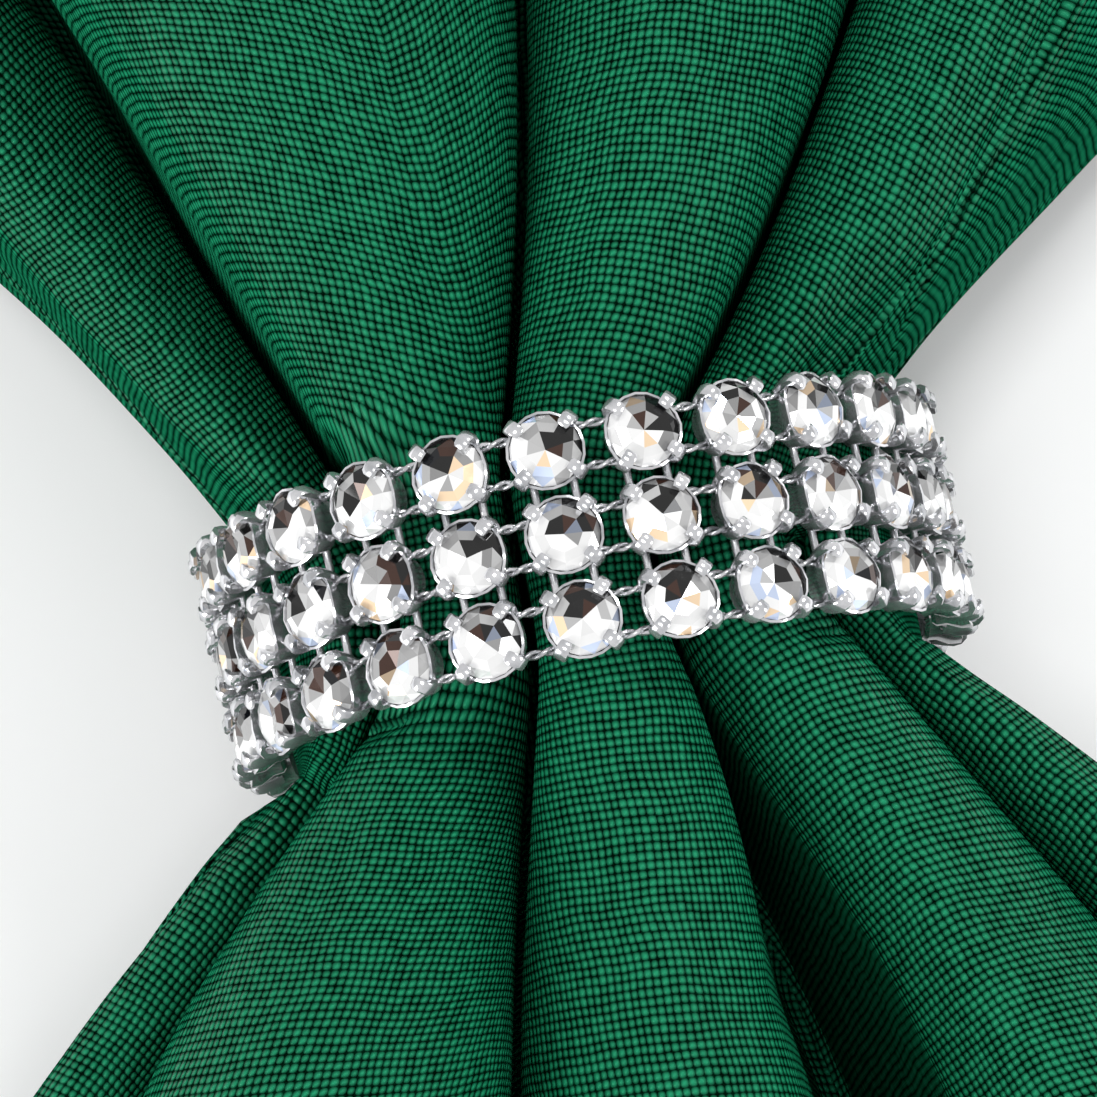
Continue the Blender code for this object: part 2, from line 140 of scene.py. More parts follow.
# How the weave's rows run over a lobe, where 0 is square to its crest, all as seen from above. wing: 1 back,
# -1 front. turn_at: distance beside the crest where they turn. left, right: how far outwards they run for
# each step away from there.
Rows = namedtuple("Rows", "fold wing turn_at left right")
ROW_TURNS = (
    Rows(1, 1, 0.000, 0.30, 0.30),
    Rows(3, 1, 0.004, 0.62, 0.60),
    Rows(5, 1, -0.002, -0.36, 0.10),
    Rows(7, 1, 0.005, 0.05, 0.85),
    Rows(9, 1, 0.000, 0.30, 0.30),
    Rows(1, -1, 0.000, 0.20, 0.20),
    Rows(3, -1, 0.006, 0.36, -0.70),
    Rows(5, -1, 0.000, -0.08, 0.12),
    Rows(7, -1, 0.000, 0.10, 0.35),
    Rows(9, -1, 0.000, 0.20, 0.30),
)
ROW_TURN_RADIUS = 0.0012
BROAD_WEAVE = 0.8               # the weave is stretched down the outer side of the broad pleat, to this share

# Steps across each half pleat, and stations along the wings: close near the ring and at the hems.
STEPS = {"flat": 2, "trough": 5, "wall": 6, "crest": 9}
HEM_BEND_STEPS = STEPS["flat"] + STEPS["trough"] + STEPS["wall"]
ACROSS = sum(STEPS.values())
STATIONS = np.unique(np.round(np.concatenate([
    np.arange(0.0, 0.040, 0.0011), np.arange(0.040, 0.080, 0.0025), np.arange(0.080, 0.192, 0.0045),
    [0.1930, 0.1938, 0.1943, 0.1970, 0.1990, 0.2000]]), 5))

# Looks, lights and camera. LIGHTS: name, place, size, power.
MAP_SCALE = 10                      # units of the cloth's two UV maps for each metre
BEAD = (0.00044, 0.00051)           # across and along the lobe
BEAD_RISE = 0.00040
WEAVE_WANDER = 0.00068              # how far the rows stray
STITCH_INSET = 0.0011               # from the hem's inner edge
STITCH_PITCH = 0.0026
STITCH_SHARE = 0.72                 # of the pitch
# The cloth's bead colours are painted light and shade: darkest in the gaps between beads, lightest on their
# tops.
GAP_SHADE_COLOUR = (0.0001, 0.002, 0.0010)
BODY_HALF_SHADE_COLOUR = (0.0008, 0.038, 0.016)
FLOAT_LIT_COLOUR = (0.0105, 0.208, 0.098)
STITCH_COLOUR = (0.008, 0.150, 0.065)
FLOOR_COLOUR = (0.93, 0.93, 0.935)
WORLD = 0.76
LIGHTS = (("key", (0.90, 0.88, 1.25), (0.40, 0.40), 11.5),
          ("side", (0.90, -0.30, 0.42), (0.35, 0.35), 2.6),
          ("top", (-0.10, -0.10, 0.95), (0.40, 0.25), 2.2),
          ("fill", (-0.80, -0.34, 0.32), (0.40, 0.50), 5.6))
WHITE_FROM, GREY_FROM = 0.56, 0.27  # a stone's facets are painted with white, grey or black reflections by these limits
WHITES, GREYS = (0.74, 1.0), (0.24, 0.50)
DARKEST = 0.010                     # light of the black facets
DEEP_BROWN = (0.036, 0.010, 0.003)  # painted brown fire, added to some of them
# AMBER and ICE_BLUE tint a few facets as painted fire.
AMBER = (0.98, 0.74, 0.50)
ICE_BLUE = (0.66, 0.76, 0.98)
CAMERA_ANGLES = (-12.28, 80.62)
CAMERA_TARGET = (-0.00159 + RING_PLACE[0], 0.00284 + RING_PLACE[1], 0.0228)
CAMERA_DISTANCE = 0.447
CAMERA_LENS = 254.1


def smoothstep(value, low, high):
    t = np.clip((value - low) / (high - low), 0.0, 1.0)
    return t * t * (3 - 2 * t)


def bezier(start, start_handle, end_handle, end, t):
    t = t[:, None]
    return ((1 - t) ** 3 * start + 3 * t * (1 - t) ** 2 * start_handle
            + 3 * t ** 2 * (1 - t) * end_handle + t ** 3 * end)


@functools.lru_cache(maxsize=None)
def fold_line(index, wing):
    """A fold seen from above, from the ring's middle to the wing's far edge (wing 1 back, -1 front).

    Returns its points and their distances along it.
    """
    fold = FOLDS[index]
    front, back = math.radians(fold.front_turn), math.radians(fold.back_turn)
    near = back if wing > 0 else front
    edge = NECK_HALF_LENGTH
    # Through the ring: a cubic that leaves both of its edges at the fold's lean.
    handle = 2 * edge / 3
    share = np.linspace(0.5, 1.0 if wing > 0 else 0.0, 12)
    ring = bezier(np.array([fold.front_x, -edge]),
                  np.array([fold.front_x - handle * math.tan(front), -edge + handle]),
                  np.array([fold.back_x - handle * math.tan(back), edge - handle]),
                  np.array([fold.back_x, edge]), share)
    # Out to the far edge, where the folds are as far apart as their strips of cloth are wide.
    along = sum(f.strip for f in FOLDS[:index + 1]) / NAPKIN_SIDE
    first, last = BACK_FAN if wing > 0 else FRONT_FAN
    far = math.radians(first + (last - first) * along)
    start = ring[-1]
    lean = np.array([math.sin(near), wing * math.cos(near)])
    fan = np.array([math.sin(far), wing * math.cos(far)])
    reach = HALF_LENGTH
    for _ in range(4):
        end = fan * reach
        handle = FAN_HANDLE * np.linalg.norm(end - start)
        t = np.linspace(0, 1, 90)[1:]
        out = bezier(start, start + lean * handle, end - fan * handle, end, t)
        away = t * HALF_LENGTH
        sway = SWAY * np.sin(2 * np.pi * away / SWAY_LENGTH + 1.9 * index + wing)
        sway *= smoothstep(away, SWAY_FROM, SWAY_TO)
        out = out + sway[:, None] * np.array([fan[1], -fan[0]])
        points = np.vstack([ring, out])
        distance = np.concatenate([[0], np.cumsum(np.linalg.norm(np.diff(points, axis=0), axis=1))])
        reach *= HALF_LENGTH / distance[-1]
    return points, distance


@functools.lru_cache(maxsize=None)
def fold_lags(wing):
    """How far each fold lags behind, so that a station's line crosses every fold squarely."""
    place = [f.back_x if wing > 0 else f.front_x for f in FOLDS]
    turn = [math.radians(f.back_turn if wing > 0 else f.front_turn) for f in FOLDS]
    lags = [0.0]
    for i in range(1, len(FOLDS)):
        lags.append(lags[-1] + (place[i] - place[i - 1]) * math.sin((turn[i] + turn[i - 1]) / 2))
    lags = np.array(lags) - min(lags)
    exits = [np.interp(NECK_HALF_LENGTH, abs(fold_line(i, wing)[0][:, 1]), fold_line(i, wing)[1])
             for i in range(len(FOLDS))]
    return lags - (np.array(exits) - NECK_HALF_LENGTH)


def fold_places(wing, distance):
    """Where a station's line crosses each fold, seen from above, and how far out each fold is there."""
    lags = fold_lags(wing)
    ramp = smoothstep(distance, 0, np.maximum(LAG_TO, 2.2 * lags)) * (1 - smoothstep(distance, *LAG_UNTIL))
    out = distance - lags * ramp
    paths = []
    for i in range(len(FOLDS)):
        points, along = fold_line(i, wing)
        paths.append([np.interp(out[i], along, points[:, 0]), np.interp(out[i], along, points[:, 1])])
    return np.array(paths), out


def half_pleat(span, length, closure):
    """A trough's middle to the next crest: run and height at each step, and the height as it falls freely.

    The cloth lies flat, turns up on a small radius, stands as a wall and turns over a round crest.
    """
    flat = TROUGH_FLAT + 0.1 * max(span - 0.010, 0)
    trough = TROUGH_RADIUS + 0.22 * max(span - 0.008, 0)
    crest = closure * (span - min(CREASE_GAP, span / 2))

    def wall_and_scale(turn):
        scale = min(1.0, (0.98 * length - flat) / ((trough + crest) * turn))
        return length - flat - scale * (trough + crest) * turn, scale

    low, high = 0.02, 2.4
    for _ in range(40):
        turn = (low + high) / 2
        wall, scale = wall_and_scale(turn)
        reach = flat + scale * (trough + crest) * math.sin(turn) + wall * math.cos(turn)
        low, high = (turn, high) if reach > span else (low, turn)
    wall, scale = wall_and_scale(turn)
    run, rise = [0.0], [0.0]

    def bend(radius, start, end, steps):
        x, z = run[-1], rise[-1]
        for a in np.linspace(start, end, steps + 1)[1:]:
            sign = 1 if end > start else -1
            run.append(x + sign * radius * (math.sin(a) - math.sin(start)))
            rise.append(z + sign * radius * (math.cos(start) - math.cos(a)))

    def straight(amount, angle, steps):
        x, z = run[-1], rise[-1]
        for a in np.linspace(0, amount, steps + 1)[1:]:
            run.append(x + a * math.cos(angle))
            rise.append(z + a * math.sin(angle))

    straight(flat, 0.0, STEPS["flat"])
    bend(trough * scale, 0.0, turn, STEPS["trough"])
    straight(wall, turn, STEPS["wall"])
    bend(crest * scale, turn, 0.0, STEPS["crest"])
    return np.array(run) / run[-1], np.array(rise), rise[-1]


def fold_height(index, wing, distance, x, free):
    """Height of a fold: on the ring's inside near the ring, on the table or as it falls further out."""
    x = min(abs(x), abs(FOLDS[index].back_x if wing > 0 else FOLDS[index].front_x))
    in_ring = math.sqrt(max(NECK_RADIUS ** 2 - x ** 2, 0.0))
    if "crest" in FOLDS[index].name:
        blend = smoothstep(distance, NECK_HALF_LENGTH, RELAX_TO)
        return (RING_HEIGHT + in_ring) * (1 - blend) + (TABLE + free) * blend
    settle = HEM_SETTLE_TO if "hem" in FOLDS[index].name else SETTLE_TO
    blend = smoothstep(distance, NECK_HALF_LENGTH, settle)
    return (RING_HEIGHT - in_ring + 0.0006) * (1 - blend) + TABLE * blend


def closure(index, wing, distance):
    """1 where the crests beside a trough touch, less where the trough is open."""
    fold = FOLDS[index]
    start, rate = (BACK_OPEN_AT, BACK_OPEN_RATE) if wing > 0 else (fold.open_at, fold.open_rate)
    return max(MOST_OPEN, 1 - rate * max(distance - start, 0))


def section(wing, distance):
    """The sheet's middle line across all pleats at one distance from the ring's middle, as 3-D points."""
    paths, out = fold_places(wing, distance)
    pleats = []
    for i in range(len(FOLDS) - 1):
        trough, crest = (i, i + 1) if i % 2 == 0 else (i + 1, i)
        span = float(np.linalg.norm(paths[crest] - paths[trough]))
        pleats.append((trough, crest, span, closure(trough, wing, out[trough])))
    free = [half_pleat(span, FOLDS[i + 1].strip, close)[2] for i, (_, _, span, close) in enumerate(pleats)]
    heights = []
    for i in range(len(FOLDS)):
        beside = free[max(i - 1, 0):i + 1]
        heights.append(fold_height(i, wing, out[i], paths[i][0], sum(beside) / len(beside)))
    signed = wing * out[CREST_5]
    shallow = smoothstep(signed, *SHALLOW_FROM) * (1 - smoothstep(signed, *SHALLOW_UNTIL))
    raised = min(heights[CREST_4], heights[CREST_5]) - SHALLOW
    heights[TROUGH_4] += (raised - heights[TROUGH_4]) * shallow
    points = []
    for i, (trough, crest, span, close) in enumerate(pleats):
        length = FOLDS[i + 1].strip
        goal = heights[crest] - heights[trough]
        for _ in range(8):
            run, rise, top = half_pleat(span, length, close)
            length += (goal - top) / 2
        plan = paths[trough][None, :] * (1 - run[:, None]) + paths[crest][None, :] * run[:, None]
        strip = np.column_stack([plan, heights[trough] + rise * goal / top])
        if "hem" in FOLDS[trough].name:
            strip = even_steps(strip[HEM_BEND_STEPS:], paths[trough], heights[trough], len(strip))
        strip = strip if trough < crest else strip[::-1]
        points.extend(strip if i == 0 else strip[1:])
    points = np.array(points)
    shape_outer_pleats(points, paths, heights, wing, out)
    return hold_in_ring(points)


def even_steps(strip, plan, height, count):
    """A strip that starts at a side hem, which has no bend of its own, in even steps."""
    strip = np.vstack([[*plan, height], strip])
    along = np.concatenate([[0], np.cumsum(np.linalg.norm(np.diff(strip, axis=0), axis=1))])
    places = np.linspace(0, along[-1], count)
    return np.column_stack([np.interp(places, along, strip[:, i]) for i in range(3)])


def follow_ring(strip, hem, hem_x):
    """A strip from a crest down to a side hem, laid round the inside of the ring."""
    side = math.copysign(1, hem_x)
    top = math.atan2(strip[0, 2] - RING_HEIGHT, side * strip[0, 0])
    angles = np.linspace(top, math.radians(HEM_RINGS[hem]), len(strip))
    crest_reach = math.hypot(strip[0, 0], strip[0, 2] - RING_HEIGHT)
    reach = np.linspace(crest_reach, max(NECK_RADIUS, abs(hem_x)), len(strip))
    return np.column_stack([side * reach * np.cos(angles), strip[:, 1],
                            RING_HEIGHT + reach * np.sin(angles)])


def shape_outer_pleats(points, paths, heights, wing, out):
    """The outer sides follow the ring, and behind it the last two pleats are one broad round one."""
    tuck = 1 - smoothstep(out[0], NECK_HALF_LENGTH, TUCK_TO)
    left = points[:ACROSS + 1][::-1]
    points[:ACROSS + 1] = (left + (follow_ring(left, "hem_left", paths[0][0]) - left) * tuck)[::-1]
    tuck = 1 - smoothstep(out[-1], NECK_HALF_LENGTH, TUCK_TO)
    right = points[CREST_5 * ACROSS:]
    points[CREST_5 * ACROSS:] = right + (follow_ring(right, "hem_right", paths[-1][0]) - right) * tuck
    signed = wing * out[CREST_5]
    broad = smoothstep(signed, *BROAD_FROM) * (1 - smoothstep(signed, *BROAD_UNTIL))
    if broad > 0:
        strip = points[CREST_4 * ACROSS:]
        along = np.concatenate([[0], np.cumsum(np.linalg.norm(np.diff(strip, axis=0), axis=1))])
        turn = (along / along[-1] * np.pi / 2)[:, None]
        plan = paths[CREST_4] + (paths[-1] - paths[CREST_4]) * np.sin(turn) ** 0.9
        arch = np.hstack([plan, heights[-1] + (heights[CREST_4] - heights[-1]) * np.cos(turn) ** 0.8])
        arch += (follow_ring(arch, "hem_right", paths[-1][0]) - arch) * tuck
        points[CREST_4 * ACROSS:] = strip + (arch - strip) * broad


def hold_in_ring(points):
    """Nothing in the ring is further from its axis than the neck radius; past the ring the limit grows."""
    limit = NECK_RADIUS + NECK_FLARE * np.maximum(abs(points[:, 1]) - NECK_HALF_LENGTH, 0)
    reach = np.hypot(points[:, 0], points[:, 2] - RING_HEIGHT)
    pull = np.minimum(1.0, limit / np.maximum(reach, 1e-9))
    points[:, 0] *= pull
    points[:, 2] = RING_HEIGHT + (points[:, 2] - RING_HEIGHT) * pull
    points[:, 2] = np.maximum(points[:, 2], TABLE)
    return points


def sheet_normals(points):
    """The sheet's normal at each point of the grid, and how sharply it bends there (1 where flat)."""
    across = np.cross(points[:-1, 1:] - points[1:, :-1], points[1:, 1:] - points[:-1, :-1])
    across /= np.maximum(np.linalg.norm(across, axis=2), 1e-12)[:, :, None]
    faces = np.pad(across, ((1, 1), (1, 1), (0, 0)), mode="edge")
    around = np.array([faces[:-1, :-1], faces[:-1, 1:], faces[1:, :-1], faces[1:, 1:]])
    normals = around.sum(axis=0)
    normals /= np.linalg.norm(normals, axis=2)[:, :, None]
    return normals, (around * normals).sum(axis=3).min(axis=0)


def weave_places(rows, signed):
    """Where the weave lies on each half pleat: across from the lobe's crest and along it, in metres.

    Its rows are square to the crest as seen from above, but for their turns.
    """
    places = []
    middle = len(signed) // 2
    lean = np.sign(signed) * smoothstep(abs(signed), 0.004, 0.012)
    for half in range(len(FOLDS) - 1):
        crest = half if half % 2 else half + 1
        part = rows[:, half * ACROSS:(half + 1) * ACROSS + 1]
        along = np.concatenate([np.zeros((len(part), 1)),
                                np.cumsum(np.linalg.norm(np.diff(part, axis=1), axis=2), axis=1)], axis=1)
        across = along - along[:, -1:] if crest > half else along
        # Behind the ring the last two pleats are one broad one, with one weave from crest 4 on.
        broad = half >= TROUGH_4
        if broad:
            back = signed > 0
            across[back] = places[half - 1][0][back, -1:] + BROAD_WEAVE * (across[back] - across[back, :1])
        ridge = np.where(broad & (signed > 0)[:, None], rows[:, CREST_4 * ACROSS], rows[:, crest * ACROSS])
        walk = np.concatenate([[0], np.cumsum(np.linalg.norm(np.diff(ridge, axis=0), axis=1))])
        way = np.gradient(ridge[:, :2], axis=0)
        way /= np.linalg.norm(way, axis=1)[:, None]
        ahead = ((part[:, :, :2] - ridge[:, None, :2]) * way[:, None]).sum(axis=2)
        right = np.stack([way[:, 1], -way[:, 0]], axis=1)
        beside = ((part[:, :, :2] - ridge[:, None, :2]) * right[:, None]).sum(axis=2)
        outwards = np.where((signed > 0)[:, None], row_turn(CREST_4 if broad else crest, 1, beside),
                            row_turn(crest, -1, beside))
        places.append([across, (walk - walk[middle])[:, None] + ahead - lean[:, None] * outwards])
    return places


def row_turn(crest, wing, beside):
    """How far outwards a row of the weave has run at each distance beside its crest, seen from above."""
    rows = next(r for r in ROW_TURNS if r.fold == crest and r.wing == wing)
    away = beside - rows.turn_at
    bent = np.sqrt(away ** 2 + ROW_TURN_RADIUS ** 2)
    return (rows.left * (bent - away) + rows.right * (bent + away)) / 2


def crease_depth(places, half):
    """How far the listed creases press a half pleat in."""
    crest = half if half % 2 else half + 1
    across, along = places[half]
    depth = np.zeros_like(across)
    for crease in CREASES:
        if crease.fold != crest:
            continue
        way = (along - crease.start) / (crease.end - crease.start)
        side = crease.side_start + (crease.side_end - crease.side_start) * way
        fade = smoothstep(way, 0, 0.25) * (1 - smoothstep(way, 0.45, 1))
        width = crease.width * (1 + 0.8 * np.clip(way, 0, 1))
        depth += crease.depth * fade * np.exp(-((across - side) / width) ** 2)
    return depth


def unevenness(cut):
    """Slow small rises and falls of loose cloth, by its own coordinates."""
    s, t = cut[:, :, 0], cut[:, :, 1]
    waves = ((0.021, 0.055, 0.4), (-0.017, 0.038, 2.1), (0.034, -0.027, 4.0), (0.012, 0.019, 1.2))
    return sum(np.sin(2 * np.pi * (s / a + t / b) + c) for a, b, c in waves) / len(waves)


def flat_places(places, signed):
    """Where each point lies on the flat napkin, from its left edge and from its middle line."""
    starts = np.concatenate([[0], np.cumsum([fold.strip for fold in FOLDS[1:]])])
    cut = np.zeros((len(signed), (len(FOLDS) - 1) * ACROSS + 1, 2))
    cut[:, :, 1] = signed[:, None]
    for half, (across, _) in enumerate(places):
        share = (across - across[:, :1]) / (across[:, -1:] - across[:, :1])
        span = slice(half * ACROSS, (half + 1) * ACROSS + 1)
        cut[:, span, 0] = starts[half] + share * FOLDS[half + 1].strip
    return cut


def thickened(rows, cut):
    """The sheet's two sides: the cloth is doubled at the hem and rounded at its edge."""
    normals, bend = sheet_normals(rows)
    edge = np.minimum(HALF_LENGTH - abs(cut[:, :, 1]), np.minimum(cut[:, :, 0], NAPKIN_SIDE - cut[:, :, 0]))
    hem = 1 - smoothstep(edge, HEM - 0.0003, HEM + 0.0003)
    roll = smoothstep(edge, -0.0003, 0.0007)
    thick = (SHEET + (HEM_SHEET - SHEET) * hem) * (0.45 + 0.55 * roll)
    offset = normals * (thick / 2 / np.clip(bend, 0.75, 1))[:, :, None]
    top, under = rows + offset, rows - offset
    under[:, :, 2] = np.maximum(under[:, :, 2], 0.0)
    top[:, :, 2] = np.maximum(top[:, :, 2], under[:, :, 2] + 0.6 * thick)
    return top, under


def sheet_faces(count, width):
    """Quads of the top, the underside and the rim, whose points are numbered row by row, top first."""
    index = np.arange(count * width).reshape(count, width)
    a, b, c, d = index[:-1, :-1], index[:-1, 1:], index[1:, 1:], index[1:, :-1]
    quads = np.stack([a, b, c, d], axis=2).reshape(-1, 4)
    ring = np.concatenate([index[0], index[1:, -1], index[-1, -2::-1], index[-2:0:-1, 0]])
    after = np.roll(ring, -1)
    rim = np.stack([after, ring, ring + count * width, after + count * width], axis=1)
    return quads, quads[:, ::-1] + count * width, rim


def weave_corners(places, count, width):
    """The weave's place at each corner of the top's quads; each half pleat has its own."""
    weave = np.zeros((count - 1, width - 1, 4, 2))
    for half, (across, along) in enumerate(places):
        spot = np.stack([across, along], axis=2)
        span = slice(half * ACROSS, (half + 1) * ACROSS)
        corners = (spot[:-1, :-1], spot[:-1, 1:], spot[1:, 1:], spot[1:, :-1])
        weave[:, span] = np.stack(corners, axis=2)
    return weave.reshape(-1, 4, 2)


def make_sheet():
    signed = np.concatenate([-STATIONS[:0:-1], STATIONS])
    wings = np.where(signed < 0, -1, 1)
    rows = np.array([section(wing, abs(d)) for wing, d in zip(wings, signed)])
    count, width = rows.shape[:2]
    places = weave_places(rows, signed)
    cut = flat_places(places, signed)
    press = np.zeros((count, width))
    for half in range(len(FOLDS) - 1):
        press[:, half * ACROSS:(half + 1) * ACROSS + 1] = crease_depth(places, half)
    normals, _ = sheet_normals(rows)
    free = smoothstep(abs(signed), 0.010, 0.045)[:, None] * smoothstep(rows[:, :, 2], 0.002, 0.008)
    rows = rows + normals * (unevenness(cut) * UNEVEN * free - press)[:, :, None]
    top, under = thickened(rows, cut)
    verts = np.concatenate([top.reshape(-1, 3), under.reshape(-1, 3)]) + np.array([*RING_PLACE, 0])
    quads, low, rim = sheet_faces(count, width)
    mesh = bpy.data.meshes.new("napkin_sheet")
    mesh.from_pydata(verts.tolist(), [], np.concatenate([quads, low, rim]).tolist())
    weave = weave_corners(places, count, width)
    flat = cut.reshape(-1, 2)
    rim_cut = flat[rim % (count * width)]
    layers = (("weave", [weave, weave[:, ::-1], rim_cut]),
              ("cut", [flat[quads], flat[quads][:, ::-1], rim_cut]))
    for name, uv in layers:
        mesh.uv_layers.new(name=name).data.foreach_set("uv", (np.concatenate(uv) * MAP_SCALE).ravel())
    mesh.shade_smooth()
    mesh.validate()
    sheet = bpy.data.objects.new("napkin_sheet", mesh)
    bpy.context.scene.collection.objects.link(sheet)
    return sheet


# ---------------------------------------------------------------- materials

class Nodes:
    """A material's node tree, with short calls for maths."""

    def __init__(self, name):
        self.material = bpy.data.materials.new(name)
        self.material.use_nodes = True
        self.tree = self.material.node_tree
        self.shader = self.tree.nodes["Principled BSDF"]

    def add(self, kind, *inputs, **settings):
        node = self.tree.nodes.new(kind)
        for key, value in settings.items():
            setattr(node, key, value)
        for i, value in enumerate(inputs):
            self.put(value, node.inputs[i])
        return node

    def put(self, value, socket):
        if value is None:
            return
        if isinstance(value, bpy.types.NodeSocket):
            self.tree.links.new(value, socket)
        else:
            socket.default_value = value

    def maths(self, operation, *inputs, clamp=False):
        return self.add("ShaderNodeMath", *inputs, operation=operation, use_clamp=clamp).outputs[0]

    def vector(self, operation, *inputs):
        return self.add("ShaderNodeVectorMath", *inputs, operation=operation).outputs[0]

    def noise(self, place, scale, detail=2.0):
        node = self.add("ShaderNodeTexNoise")
        self.put(place, node.inputs["Vector"])
        node.inputs["Scale"].default_value = scale
        node.inputs["Detail"].default_value = detail
        return node

    def ramp(self, value, *stops):
        node = self.add("ShaderNodeValToRGB", value)
        for i, (at, colour) in enumerate(stops):
            stop = node.color_ramp.elements[i] if i < 2 else node.color_ramp.elements.new(at)
            stop.position, stop.color = at, (*colour, 1)
        return node.outputs[0]

    def span(self, value, low, high, to_low=0.0, to_high=1.0):
        return self.add("ShaderNodeMapRange", value, low, high, to_low, to_high,
                        interpolation_type="SMOOTHSTEP").outputs[0]

    def bump(self, height, distance, strength=1.0, normal=None):
        node = self.add("ShaderNodeBump")
        node.inputs["Strength"].default_value = strength
        node.inputs["Distance"].default_value = distance
        self.put(height, node.inputs["Height"])
        self.put(normal, node.inputs["Normal"])
        return node.outputs[0]


def cloth_material():
    """A firm plain weave whose floats stand up as rows of small beads, across each lobe, with painted shade
    in the gaps between them and painted light on their tops.
    """
    n = Nodes("napkin_weave")
    uv = n.add("ShaderNodeUVMap", uv_map="weave").outputs[0]
    cut = n.add("ShaderNodeUVMap", uv_map="cut").outputs[0]
    wander = n.noise(uv, 16.0, 3.0)
    shift = n.vector("SUBTRACT", wander.outputs["Color"], (0.5, 0.5, 0.5))
    stray = WEAVE_WANDER * MAP_SCALE
    place = n.vector("ADD", uv, n.vector("MULTIPLY", shift, (stray, stray, 0)))
    xyz = n.add("ShaderNodeSeparateXYZ", place)
    row = n.maths("DIVIDE", xyz.outputs[1], BEAD[1] * MAP_SCALE)
    row_number = n.maths("FLOOR", row)
    stagger = n.maths("MULTIPLY", n.maths("SINE", n.maths("MULTIPLY", row_number, 12.9898)), 0.16)
    column = n.maths("ADD", n.maths("DIVIDE", xyz.outputs[0], BEAD[0] * MAP_SCALE), stagger)
    u = n.maths("SUBTRACT", n.maths("FRACT", column), 0.5)
    v = n.maths("SUBTRACT", n.maths("FRACT", row), 0.5)
    cell = n.add("ShaderNodeCombineXYZ", n.maths("FLOOR", column), row_number, 0.0).outputs[0]
    each = n.add("ShaderNodeTexWhiteNoise", cell, noise_dimensions="2D")
    # A bead: a dome wider across the row than along it, with its own size.
    du = n.maths("POWER", n.maths("ABSOLUTE", n.maths("MULTIPLY", u, 2.0)), 2.3)
    dv = n.maths("POWER", n.maths("ABSOLUTE", n.maths("MULTIPLY", v, 2.0)), 2.1)
    reach = n.maths("ADD", du, dv)
    size = n.maths("ADD", n.maths("MULTIPLY", each.outputs["Value"], 0.26), 0.88)
    rise = n.maths("SUBTRACT", size, n.maths("MULTIPLY", reach, 0.88))
    dome = n.maths("SQRT", n.maths("MAXIMUM", rise, 0.0))
    fibre = n.noise(n.vector("MULTIPLY", place, (1.0, 0.35, 1.0)), 900.0, 2.0)
    height = n.maths("ADD", dome, n.maths("MULTIPLY", fibre.outputs["Fac"], 0.10))
    # The hem: a folded edge held by a line of stitches.
    s, t = n.add("ShaderNodeSeparateXYZ", cut).outputs[:2]
    middle = HALF_LENGTH * MAP_SCALE
    side = n.maths("SUBTRACT", middle, n.maths("ABSOLUTE", n.maths("SUBTRACT", s, middle)))
    end = n.maths("SUBTRACT", middle, n.maths("ABSOLUTE", t))
    edge = n.maths("MINIMUM", side, end)
    run = n.maths("ADD", n.maths("MULTIPLY", s, n.maths("LESS_THAN", end, side)),
                  n.maths("MULTIPLY", t, n.maths("LESS_THAN", side, end)))
    off = n.maths("ABSOLUTE", n.maths("SUBTRACT", edge, (HEM - STITCH_INSET) * MAP_SCALE))
    dash = n.maths("FRACT", n.maths("DIVIDE", run, STITCH_PITCH * MAP_SCALE))
    dash = n.maths("LESS_THAN", dash, STITCH_SHARE)
    stitch = n.maths("MULTIPLY", n.span(off, 0.0025, 0.0055, 1.0, 0.0), dash)
    groove = n.span(off, 0.004, 0.016, 1.0, 0.0)
    slow = n.noise(uv, 5.0, 2.0).outputs["Fac"]
    own = n.maths("MULTIPLY", each.outputs["Value"], 0.12)
    # Painted shade and light: a bead's colour runs from dark in the gaps to light on its top, by its dome;
    # own adds each bead's random tone.
    painted_shade_and_tone = n.maths("ADD", n.maths("MULTIPLY", dome, 0.86), own)
    colour = n.ramp(painted_shade_and_tone, (0.0, GAP_SHADE_COLOUR), (0.34, BODY_HALF_SHADE_COLOUR), (1.0, FLOAT_LIT_COLOUR))
    shade = n.add("ShaderNodeMix", data_type="RGBA", blend_type="MULTIPLY")
    n.put(1.0, shade.inputs["Factor"])
    n.put(colour, shade.inputs["A"])
    n.put(n.ramp(slow, (0.3, (0.86, 0.90, 0.88)), (0.7, (1.0, 1.0, 1.0))), shade.inputs["B"])
    thread = n.add("ShaderNodeMix", data_type="RGBA")
    n.put(stitch, thread.inputs["Factor"])
    n.put(shade.outputs["Result"], thread.inputs["A"])
    n.put((*STITCH_COLOUR, 1), thread.inputs["B"])
    n.put(thread.outputs["Result"], n.shader.inputs["Base Color"])
    n.put(n.span(dome, 0.0, 1.0, 0.80, 0.36), n.shader.inputs["Roughness"])
    # Beads gloss on top of the lobes, and hardly down their steep sides.
    normal = n.add("ShaderNodeNewGeometry").outputs["True Normal"]
    facing_up = n.add("ShaderNodeSeparateXYZ", normal).outputs[2]
    gloss = n.maths("MULTIPLY", n.span(dome, 0.15, 1.0, 0.01, 0.30), n.span(facing_up, 0.40, 0.85))
    n.put(gloss, n.shader.inputs["Specular IOR Level"])
    n.shader.inputs["Specular Tint"].default_value = (0.22, 1.0, 0.60, 1)
    folded = n.bump(n.maths("SUBTRACT", stitch, groove), 0.0002, 0.6)
    n.put(n.bump(height, BEAD_RISE, 1.0, folded), n.shader.inputs["Normal"])
    return n.material


